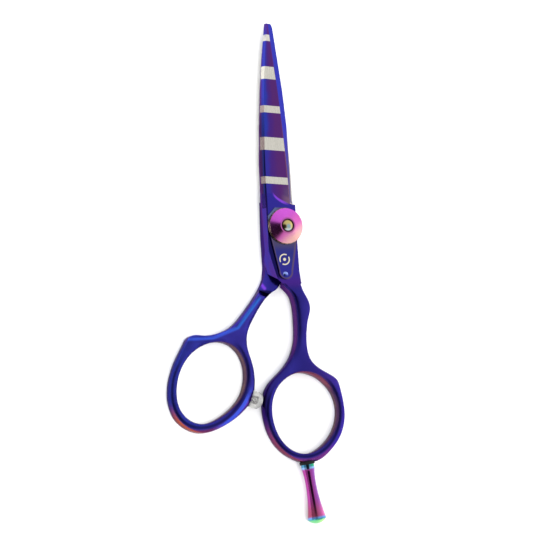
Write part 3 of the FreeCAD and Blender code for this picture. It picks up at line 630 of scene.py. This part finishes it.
def finger_coating():
    """Coating of the finger half: silver bands and a blue to plum blade face, a dark
    blue ricasso with bevelled side, and the finger ring."""
    graph = Graph("coated_steel")
    graph.darken_grazing()
    x, y, nz = graph.x, graph.y, graph.nz
    blade, is_top, band_mask, lines = blade_color(graph)

    # the violet light that runs along the swoosh, and a cream one at its right end
    swoosh = graph.math("EXPONENT", graph.times(graph.add(x, SWOOSH_OFFSET), SWOOSH_RATE))
    swoosh = graph.least(graph.scale_add(swoosh, SWOOSH_RISE, SWOOSH_LOW), SWOOSH_TOP)
    past = graph.less(y, swoosh)
    # greyer plum on the face just past the swoosh
    grey_beside_swoosh = graph.times(graph.band(past, 0.3, 1.6, 1.2), graph.ramp(x, -0.8, 2.0), is_top)
    blade = graph.mix(graph.times(grey_beside_swoosh, 0.75), blade, SWOOSH_GREY_PLUM)
    top = graph.mix(graph.ramp(past, -0.05, 0.05), ricasso_color(graph), blade)
    glow = graph.times(graph.band(past, -0.25, 0.2, 0.5), graph.ramp(x, 2.6, -0.6))
    glow = graph.times(glow, graph.ramp(x, -3.6, -2.4), is_top, 0.85)
    top = graph.mix(glow, top, SWOOSH_LIGHT)
    cream = graph.times(graph.band(past, 0.0, 0.7, 0.1), graph.ramp(x, 2.9, 3.3))
    top = graph.mix(cream, top, CREAM)

    blade_wall = graph.mix(graph.ramp(y, 6.0, -4.0), MAROON, RICASSO_WALL)
    upper = graph.mix(graph.ramp(nz, 0.3, 0.12), top, blade_wall)
    lower = finger_shank_color(graph)
    color = graph.mix(graph.ramp(y, -17.0, -20.5), upper, lower)

    # the inner face is bare ground steel beyond the pivot
    inside = graph.times(graph.ramp(nz, -0.9, -0.95), graph.ramp(y, 5.0, 6.0))
    color = graph.mix(inside, color, SILVER)
    roughness = graph.tree.nodes.new("ShaderNodeMix")
    graph.join(band_mask, roughness.inputs["Factor"])
    graph.join(graph.polish(0.16, 0.24, (1.0, 0.06, 1.0)), roughness.inputs["A"])
    graph.join(graph.scale_add(lines, 0.14, 0.2), roughness.inputs["B"])
    relief = graph.noise(3.0, (1.0, 0.04, 1.0))
    graph.bump(relief, GRIND_DEPTH, graph.crown(*FINGER_CROWN))
    return graph.finish(color, roughness.outputs["Result"])


# ---------------------------------------------------------------- thumb half

# The ridge of light along the shank, and a painted highlight and a painted shadow on the
# shoulder.
SHANK_RIDGE = [(-9.6, -22.3), (-17.6, -31.6), (-26.0, -34.6), (-34.4, -34.8)]
SHOULDER_SPOT = ((-7.9, -18.0), (-7.0, -19.2))
SHOULDER_SHADE = ((-8.3, -20.3), (-5.2, -20.6))

# Y where the ring starts, Y over which the shank becomes crowned, and how the shank
# falls off beside its ridge: metres of depth to the millimetre, up to RIDGE_REACH.
THUMB_RING_Y = -38.0
THUMB_CROWN = (-22.0, -25.0)
RIDGE_DEPTH = 0.00022
RIDGE_REACH = 2.2

RIDGE_LIGHT_LOW = srgb(64, 96, 228)
RIDGE_LIGHT_HIGH = srgb(52, 118, 226)
SPOT_LIGHT = srgb(134, 74, 236)
SHOULDER_LEFT = srgb(60, 52, 158)
SHOULDER_RIGHT = srgb(44, 40, 134)
THUMB_SIDE = srgb(66, 50, 122)
THUMB_EDGE_HIGH = srgb(38, 70, 160)
THUMB_EDGE_LOW = srgb(104, 48, 92)
RING_HIGHLIGHT = srgb(72, 92, 226)
RING_PURPLE = srgb(96, 56, 164)
THUMB_RIM = (srgb(38, 46, 124), srgb(168, 84, 54), srgb(104, 50, 108))
GROUND_STEEL = srgb(176, 174, 168)


def thumb_coating():
    """Coating of the thumb half: shoulder, shank with its ridge of light, thumb ring
    and the comb with bare teeth."""
    graph = Graph("coated_steel_thumb")
    graph.darken_grazing()
    x, y, nz = graph.x, graph.y, graph.nz
    base = graph.mix(graph.ramp(x, -36.0, -20.0), graph.mix(0.45, BLUE, SKY), BLUE)
    cloudy = graph.times(graph.ramp(graph.noise(0.12), 0.35, 0.7), 0.6)
    base = graph.mix(cloudy, base, INDIGO)
    ridge = graph.least(*[
        graph.from_segment(stretch) for stretch in zip(SHANK_RIDGE, SHANK_RIDGE[1:])
    ])
    ridge_light = graph.mix(graph.ramp(y, -33.5, -30.0), RIDGE_LIGHT_LOW, RIDGE_LIGHT_HIGH)
    base = graph.mix(graph.times(graph.ramp(ridge, 0.8, 0.1), 0.75), base, ridge_light)

    # at the lower right of the ring a dark strip of painted reflection, a painted highlight
    # line and a purple outer edge
    edge = graph.mix(graph.ramp(y, -52.0, -59.0), THUMB_EDGE_HIGH, THUMB_EDGE_LOW)
    gap = graph.from_oval(THUMB_OVAL)
    below = graph.ramp(y, -49.0, -54.5)
    outer = graph.times(graph.ramp(gap, 2.3, 2.8), below)
    reflection_strip = graph.times(graph.ramp(gap, 1.6, 1.1), below)
    low_right = graph.mix(below, BLUE, RING_HIGHLIGHT)
    low_right = graph.mix(outer, low_right, RING_PURPLE)
    low_right = graph.mix(reflection_strip, low_right, SHADE_NAVY)
    edge = graph.mix(graph.ramp(x, -29.0, -23.0), edge, low_right)
    ring = ring_color(graph, THUMB_OVAL, THUMB_RING_Y, base, edge, THUMB_RIM)

    wall = graph.ramp(graph.absolute(nz), 0.45, 0.2)
    side = graph.mix(graph.ramp(graph.nx, -0.3, 0.3), THUMB_SIDE, VIOLET)
    shank = graph.mix(wall, base, side)
    lower = graph.mix(graph.ramp(y, -33.0, -38.0), shank, ring)

    upper = graph.mix(graph.ramp(x, -9.0, -4.0), SHOULDER_LEFT, SHOULDER_RIGHT)
    # painted shadow on the shoulder's faces that look down the shank
    upper = graph.mix(graph.ramp(graph.ny, -0.3, -0.6), upper, SHADE_NAVY)
    spot = graph.ramp(graph.from_segment(SHOULDER_SPOT), 0.9, 0.1)
    upper = graph.mix(graph.times(spot, 0.9), upper, SPOT_LIGHT)
    shade = graph.ramp(graph.from_segment(SHOULDER_SHADE), 0.95, 0.35)
    upper = graph.mix(graph.times(shade, 0.9), upper, SHADE_NAVY)
    upper = graph.mix(wall, upper, side)
    color = graph.mix(graph.ramp(y, -21.0, -23.4), upper, lower)

    # ground steel on the inner face and on the teeth
    bare = graph.times(graph.ramp(y, 8.0, 9.0), graph.ramp(nz, 0.9, 0.95))
    teeth = graph.times(graph.ramp(y, 12.0, 14.0), graph.ramp(x, -0.9, -1.1), 0.8)
    lines = graph.ramp(graph.noise(7.0, (0.03, 1.0, 1.0)), 0.3, 0.7)
    ground = graph.mix(lines, GROUND_STEEL, SILVER)
    color = graph.mix(graph.most(bare, teeth), color, ground)
    relief = graph.times(graph.least(ridge, RIDGE_REACH), graph.ramp(x, -33.0, -29.0), -1.0)
    graph.bump(relief, RIDGE_DEPTH, graph.crown(*THUMB_CROWN))
    return graph.finish(color, graph.polish(0.15, 0.23, (1.0, 0.3, 1.0)))


# ---------------------------------------------------------------- leaf spring plate

MARK_MIDDLE = (-0.9, -10.5)
MARK_GAP = ((-3.0, -12.6), (1.2, -8.4))
PALE_CORNER = (-6.0, 5.0)
PLATE_DIAL_SHADE = srgb(78, 72, 108)
PLATE_MIDDLE = srgb(52, 54, 132)
PLATE_LOW = srgb(50, 48, 146)
PLATE_PALE = srgb(96, 108, 150)
PLATE_RIM = srgb(100, 82, 110)
PLATE_WALL = srgb(110, 90, 84)


def plate_coating():
    """Coating of the leaf spring plate, with browned edges and a plain ring mark, painted
    shade under the dial, and painted shade along its left edge and at its foot.
    """
    graph = Graph("coated_steel_plate")
    graph.darken_grazing()
    x, y = graph.x, graph.y
    left = graph.from_line(PLATE_LEFT)
    right = graph.from_line(PLATE_RIGHT)
    foot = graph.less(PLATE_FOOT_RADIUS, graph.from_point(PLATE_FOOT))
    low_end = graph.ramp(y, -14.2, -14.5)
    above = graph.invert(low_end)
    # greyer at the top, painted shade under the dial
    color = graph.mix(graph.ramp(y, -5.2, -8.4), PLATE_DIAL_SHADE, PLATE_MIDDLE)
    color = graph.mix(graph.ramp(y, -10.0, -14.0), color, PLATE_LOW)
    color = graph.mix(graph.ramp(graph.from_point(PALE_CORNER), 5.5, 2.0), color, PLATE_PALE)
    brown = graph.most(
        graph.times(graph.ramp(foot, 0.65, 0.4), low_end),
        graph.times(graph.ramp(left, 0.62, 0.42), above),
        graph.times(graph.ramp(right, 0.75, 0.45), above),
    )
    color = graph.mix(graph.times(brown, 0.85), color, PLATE_RIM)
    # painted shade along the left edge and at the lower left of the foot
    shade_mask = graph.most(
        graph.times(graph.ramp(left, 0.34, 0.18), above),
        graph.times(graph.ramp(foot, 0.2, 0.1), low_end, graph.ramp(x, 0.0, -1.0)),
    )
    color = graph.mix(shade_mask, color, SHADE_NAVY)

    # the mark: a ring with two gaps, and a dot in it
    from_mark = graph.from_point(MARK_MIDDLE)
    ring = graph.band(from_mark, 1.45, 1.75, 0.08)
    mark = graph.most(ring, graph.ramp(from_mark, 0.55, 0.42))
    gap = graph.band(graph.from_line(MARK_GAP), -0.4, 0.4, 0.08)
    mark = graph.times(mark, graph.most(graph.invert(gap), graph.ramp(from_mark, 1.0, 0.9)))
    color = graph.mix(mark, color, CREAM)
    color = graph.mix(graph.ramp(graph.nz, 0.6, 0.3), color, PLATE_WALL)
    return graph.finish(color, graph.polish(0.16, 0.26, (1.0, 0.1, 1.0)))


# ---------------------------------------------------------------- small pieces

PIVOT = (0.0, 0.0)

# The dial's circles: cells to the millimetre, and their depth in metres.
CIRCLES_SCALE = 14.0
CIRCLES_DEPTH = 0.000004
DIAL_UPPER = srgb(214, 96, 220)
DIAL_MIDDLE = srgb(206, 100, 178)
DIAL_LOWER_HUE_AND_HIGHLIGHT = srgb(240, 184, 176)
DIAL_CLOUD = srgb(200, 80, 200)
DIAL_LIP = srgb(150, 92, 130)
DIAL_EYE = srgb(92, 50, 78)
DIAL_WALL = srgb(196, 150, 150)


def dial_coating():
    """Satin pink dial: brushed in circles, paler towards the lower right, where its hue
    shifts and a painted highlight lies.
    """
    graph = Graph("dial_coating")
    radius = graph.from_point(PIVOT)
    corner = graph.scale_add(graph.y, -0.8, graph.times(graph.x, 0.6))
    color = graph.mix(graph.ramp(corner, -3.5, 1.0), DIAL_UPPER, DIAL_MIDDLE)
    # paler to the lower right: the coating's own hue shift and a painted highlight
    color = graph.mix(graph.ramp(corner, 1.0, 4.8), color, DIAL_LOWER_HUE_AND_HIGHLIGHT)
    clouded = graph.mix(0.15, color, DIAL_CLOUD)
    color = graph.mix(graph.ramp(graph.noise(0.5), 0.4, 0.7), color, clouded)
    lip = graph.times(graph.ramp(radius, 2.75, 2.45), 0.55)
    color = graph.mix(lip, color, DIAL_LIP)
    color = graph.mix(graph.ramp(radius, 2.2, 2.1), color, DIAL_EYE)
    wall = graph.times(graph.ramp(graph.nz, 0.3, 0.1), graph.ramp(radius, 4.0, 4.5))
    color = graph.mix(wall, color, DIAL_WALL)
    circles = graph.tree.nodes.new("ShaderNodeTexNoise")
    circles.noise_dimensions = "1D"
    circles.inputs["Scale"].default_value = CIRCLES_SCALE
    circles.inputs["Detail"].default_value = POLISH_DETAIL
    graph.join(radius, circles.inputs["W"])
    graph.bump(circles.outputs["Fac"], CIRCLES_DEPTH)
    return graph.finish(color, graph.scale_add(circles.outputs["Fac"], 0.1, 0.13))


CAP_MIDDLE = (0.15, -0.35)
CAP_GREY = srgb(140, 168, 176)
CAP_GOLD = srgb(196, 178, 116)
CAP_PALE = srgb(196, 214, 220)
CAP_RIM = srgb(90, 62, 52)


def cap_coating():
    """Gold-green dome with a blue-grey middle."""
    graph = Graph("cap_coating")
    color = graph.mix(graph.ramp(graph.from_point(CAP_MIDDLE), 0.3, 1.2), CAP_GREY, CAP_GOLD)
    color = graph.mix(graph.ramp(graph.y, -0.6, -1.5), color, CAP_PALE)
    rim = graph.times(graph.ramp(graph.from_point(PIVOT), 1.45, 1.7), 0.8)
    return graph.finish(graph.mix(rim, color, CAP_RIM), graph.polish(0.12, 0.24))


# Where the finger rest starts, and the direction it points in.
REST_SEAT = (3.35, -74.05)
REST_TURN = math.radians(7.0 - 90.0)

GRIP_LEFT = srgb(160, 62, 142)
GRIP_RIGHT = srgb(142, 78, 164)
GRIP_LOW_LEFT = srgb(152, 68, 100)
GRIP_LOW_HIGHLIGHT = srgb(196, 98, 160)
COLLAR_LEFT = srgb(74, 134, 168)
COLLAR_RIGHT = srgb(48, 160, 120)
COLLAR_HIGHLIGHT = srgb(132, 170, 220)
GRIP_END = srgb(104, 150, 216)
DOME_EDGE = srgb(66, 150, 150)
DOME_LEFT = srgb(104, 184, 124)
DOME_RIGHT_HIGHLIGHT = srgb(168, 216, 122)


def rest_coating():
    """Finger rest: teal collar with a painted cyan highlight at its end, pink and violet
    grip with a painted pink highlight low on its right, cyan edge, and green dome with a
    painted yellow-green highlight on its right.
    """
    graph = Graph("rest_coating")
    along, across = graph.turned(REST_SEAT, REST_TURN)
    color = graph.mix(graph.ramp(across, -1.2, 1.2), GRIP_LEFT, GRIP_RIGHT)
    # the low grip turns to a painted pink highlight on its right
    low = graph.mix(graph.ramp(across, -1.5, 1.5), GRIP_LOW_LEFT, GRIP_LOW_HIGHLIGHT)
    collar = graph.mix(graph.ramp(across, -0.6, 0.8), COLLAR_LEFT, COLLAR_RIGHT)
    # the dome turns to a painted yellow-green highlight on its right
    dome = graph.mix(graph.ramp(across, -1.5, 2.0), DOME_LEFT, DOME_RIGHT_HIGHLIGHT)
    # each colour takes over between two distances along the rest
    zones = [
        (11.5, 16.5, low),
        # painted cyan highlight at the end of the collar
        (2.7, 2.2, COLLAR_HIGHLIGHT),
        (2.0, 1.6, collar),
        (17.2, 17.9, GRIP_END),
        (17.9, 18.3, DOME_EDGE),
        (18.3, 18.7, dome),
    ]
    for start, end, zone_color in zones:
        color = graph.mix(graph.ramp(along, start, end), color, zone_color)
    return graph.finish(color, graph.polish(0.12, 0.22, (1.0, 0.2, 1.0)))


RIVET_Y = -15.3
RIVET_SHADE = srgb(40, 46, 140)
RIVET_HIGHLIGHT = srgb(150, 170, 244)


def rivet_steel():
    """Rivet of the plate, with a painted highlight on the half towards the pivot and painted
    shade on the other.
    """
    graph = Graph("rivet_steel")
    # painted highlight on the half towards the pivot, painted shade on the other
    high = graph.ramp(graph.less(graph.y, RIVET_Y), -0.5, 0.5)
    return graph.finish(graph.mix(high, RIVET_SHADE, RIVET_HIGHLIGHT), graph.polish(0.14, 0.24))


def plain_metal(name, scale, colors, low, high):
    """Metal in slow clouds of two colours, scale cells to the millimetre, with
    roughness from low to high."""
    graph = Graph(name)
    tone = graph.ramp(graph.noise(scale), 0.3, 0.7)
    return graph.finish(graph.mix(tone, *colors), graph.polish(low, high))


GRAIN_DEPTH = 0.00001


def plain_plastic(name, colors, low, high):
    """Plastic in clouds of two colours, with a slight grain."""
    graph = Graph(name)
    tone = graph.ramp(graph.noise(1.2), 0.3, 0.7)
    graph.bump(graph.noise(4.0), GRAIN_DEPTH)
    return graph.finish(graph.mix(tone, *colors), graph.polish(low, high), 0.0)


CLEAR_LOW = srgb(240, 240, 236)
CLEAR_HIGH = srgb(250, 250, 248)
CLEAR_TRANSMISSION = 0.92
CLEAR_IOR = 1.42


def clear_rubber():
    """Clear soft plastic of the bumper, through which its stud shows."""
    graph = Graph("clear_rubber")
    tone = graph.ramp(graph.noise(1.0), 0.3, 0.7)
    graph.shader.inputs["Transmission Weight"].default_value = CLEAR_TRANSMISSION
    graph.shader.inputs["IOR"].default_value = CLEAR_IOR
    color = graph.mix(tone, CLEAR_LOW, CLEAR_HIGH)
    return graph.finish(color, graph.polish(0.06, 0.16), 0.0)


# Where the bumper's stud starts, its direction and its thread, with the depth of the
# grooves in metres.
BUMPER_SEAT = (-14.35, -53.6)
BUMPER_TURN = math.radians(-18.0)
THREAD_PITCH = 0.5
THREAD_LEAN = 0.12
THREAD_DEPTH = 0.00006
STUD_BRIGHT = srgb(214, 214, 212)
STUD_GROOVE_SHADE = srgb(96, 96, 98)


def stud_steel():
    """Bare steel stud, with painted shade in the grooves of its thread."""
    graph = Graph("stud_steel")
    along = graph.turned(BUMPER_SEAT, BUMPER_TURN)[0]
    slant = graph.scale_add(graph.z, THREAD_LEAN, along)
    turns = graph.math("SINE", graph.times(slant, 2.0 * math.pi / THREAD_PITCH))
    # painted shade in the thread's grooves
    color = graph.mix(graph.ramp(turns, -0.1, -0.7), STUD_BRIGHT, STUD_GROOVE_SHADE)
    graph.bump(turns, THREAD_DEPTH)
    return graph.finish(color, graph.polish(0.2, 0.32))


# ---------------------------------------------------------------- dressing the pieces

STEEL = (srgb(178, 178, 176), srgb(206, 205, 202))
NYLON = (srgb(222, 220, 210), srgb(232, 230, 222))
BRONZE = (srgb(170, 130, 78), srgb(192, 152, 96))
CLICK_STEEL = (srgb(150, 134, 118), srgb(186, 170, 146))
BLACK_RUBBER = (srgb(3, 3, 4), srgb(7, 7, 8))
SHARP_ANGLE = math.radians(28.0)

steel = plain_metal("bare_steel", 1.5, STEEL, 0.18, 0.32)
nylon = plain_plastic("nylon", NYLON, 0.45, 0.6)
materials = {
    "finger_blade_half": finger_coating(),
    "thumb_blade_half": thumb_coating(),
    "leaf_spring_plate": plate_coating(),
    "plate_rivet": rivet_steel(),
    "pivot_bolt": steel,
    "head_washer": nylon,
    "bearing_washer": nylon,
    "pivot_bush": plain_metal("bronze", 1.5, BRONZE, 0.3, 0.45),
    "bumper_stud": stud_steel(),
    "click_ring": plain_metal("click_steel", 2.0, CLICK_STEEL, 0.25, 0.38),
    "tension_knob": dial_coating(),
    "dial_cap_screw": cap_coating(),
    "finger_rest": rest_coating(),
    "finger_rest_washer": plain_plastic("black_rubber", BLACK_RUBBER, 0.7, 0.85),
    "bumper": clear_rubber(),
}

# Each CAD piece gets its material, and smooth shading with crisp edges.
for node, material in materials.items():
    mesh = nodes[node].data
    mesh.materials.clear()
    mesh.materials.append(material)
    mesh.shade_smooth()
    mesh.set_sharp_from_angle(angle=SHARP_ANGLE)
